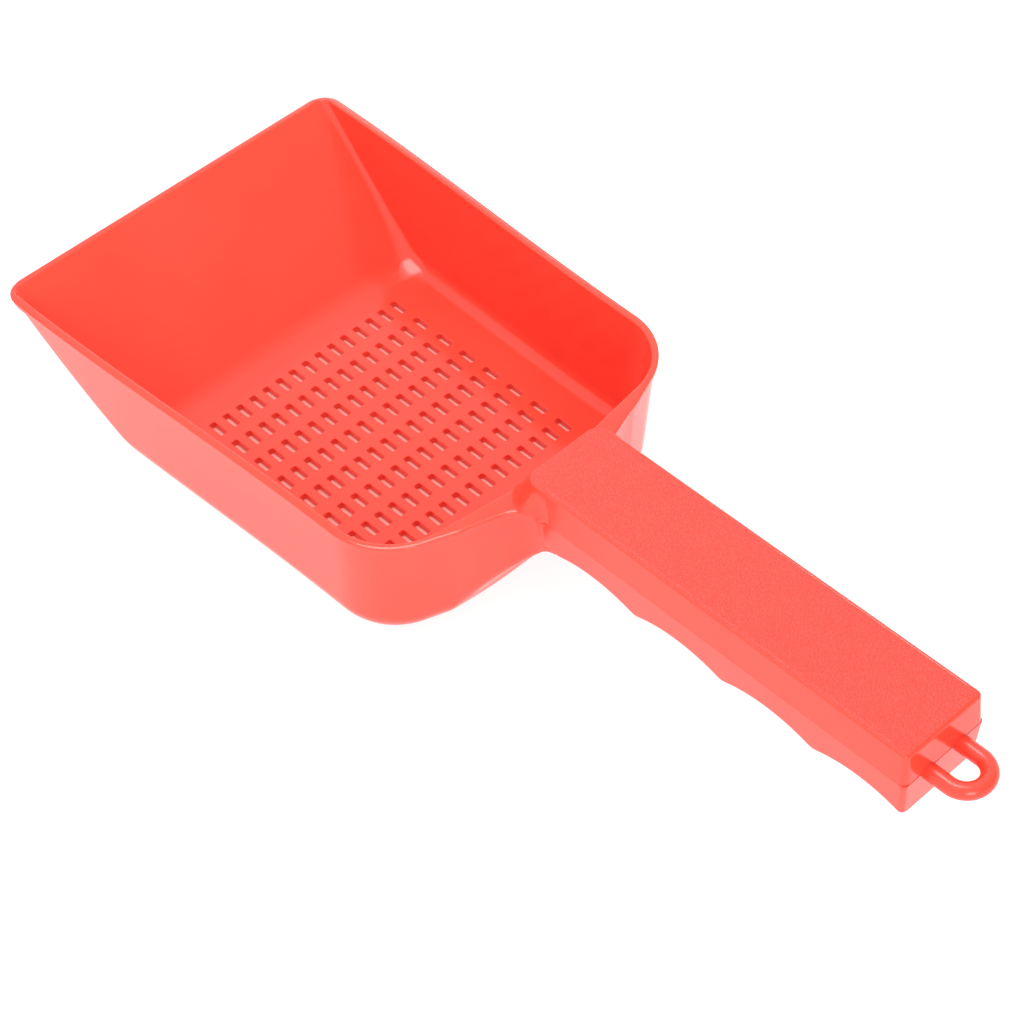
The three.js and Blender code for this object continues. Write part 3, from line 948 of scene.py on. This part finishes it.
def add_board():
    """The pale floor: a matt white board that gives off light of its own."""
    data = bpy.data.meshes.new("floor")
    corners = [(-1, -1), (1, -1), (1, 1), (-1, 1)]
    data.from_pydata(
        [(x * BOARD_REACH, y * BOARD_REACH, -BOARD_DROP) for x, y in corners], [], [(0, 1, 2, 3)]
    )
    floor = place(data, "floor")
    made = Nodes("white_board")
    grain = made.noise(made.object_place(), Scale=40.0, Detail=3.0)
    tint = made.ramp(grain, [(0.3, BOARD_TINTS[0]), (0.7, BOARD_TINTS[1])])
    made.join(tint, made.shader.inputs["Base Color"])
    made.shader.inputs["Roughness"].default_value = 0.9
    made.join(board_glow_with_painted_shadow(made), made.shader.inputs["Emission Color"])
    made.shader.inputs["Emission Strength"].default_value = 1.0
    floor.data.materials.append(made.material)


def add_light(name, place_at, size, power):
    """A soft square light aimed at the object's middle."""
    lamp = bpy.data.lights.new(name, "AREA")
    lamp.shape = "SQUARE"
    lamp.size = size
    lamp.energy = power
    obj = place(lamp, name)
    obj.location = place_at
    obj.rotation_euler = (-Vector(place_at)).to_track_quat("-Z", "Y").to_euler()


def add_world():
    """A bright even surround with a dimmer side beyond the handle's right."""
    world = bpy.data.worlds.new("studio")
    bpy.context.scene.world = world
    world.use_nodes = True
    tree = world.node_tree
    background = tree.nodes["Background"]
    background.inputs["Color"].default_value = (1, 1, 1, 1)
    toward_dim = tree.nodes.new("ShaderNodeVectorMath")
    toward_dim.operation = "DOT_PRODUCT"
    direction = tree.nodes.new("ShaderNodeTexCoord").outputs["Generated"]
    tree.links.new(direction, toward_dim.inputs[0])
    toward_dim.inputs[1].default_value = Vector(DIM_DIRECTION).normalized()
    level = tree.nodes.new("ShaderNodeMapRange")
    level.inputs["From Min"].default_value = DIM_START
    level.inputs["From Max"].default_value = 1.0
    level.inputs["To Min"].default_value = BRIGHT_STRENGTH
    level.inputs["To Max"].default_value = DIM_STRENGTH
    tree.links.new(toward_dim.outputs["Value"], level.inputs["Value"])
    tree.links.new(level.outputs["Result"], background.inputs["Strength"])


def add_camera():
    """The camera at the photograph's viewing angle."""
    azimuth, elevation, roll = (math.radians(a) for a in CAMERA_ANGLES)
    flat = math.cos(elevation)
    toward = Vector((flat * math.sin(azimuth), -flat * math.cos(azimuth), math.sin(elevation)))
    level = Vector((math.cos(azimuth), math.sin(azimuth), 0))
    upright = toward.cross(level)
    right = math.cos(roll) * level + math.sin(roll) * upright
    up = -math.sin(roll) * level + math.cos(roll) * upright
    data = bpy.data.cameras.new("camera")
    data.sensor_width = CAMERA_SENSOR
    data.lens = CAMERA_LENS
    camera = place(data, "camera")
    turn = Matrix((right, up, toward)).transposed()
    stand = Vector(CAMERA_TARGET) + toward * CAMERA_DISTANCE
    camera.matrix_world = Matrix.Translation(stand) @ turn.to_4x4()
    bpy.context.scene.camera = camera


# ---- assembly -----------------------------------------------------------------------------------

def dress(obj, node, material):
    obj.data.materials.clear()
    obj.data.materials.append(material)
    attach(obj, "root")
    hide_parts(node)


scoop = united("scoop", pan_mesh(), grip_mesh(), sharp_angle=35)
dress(scoop, "scoop_body", smooth_plastic())
dress(place(cover_mesh(), "grip_cover"), "handle_cover", grained_plastic())
dress(place(loop_mesh(), "end_loop"), "hang_loop", loop_plastic())

add_board()
add_world()
add_light("overhead", (-0.2, 0.03, 1.3), size=0.6, power=7)
add_light("behind", (-0.87, 0.75, 0.62), size=0.45, power=1.2)
add_light("front", (1.25, -0.65, 0.5), size=0.5, power=6)
add_camera()
bpy.context.scene.view_settings.view_transform = "Standard"
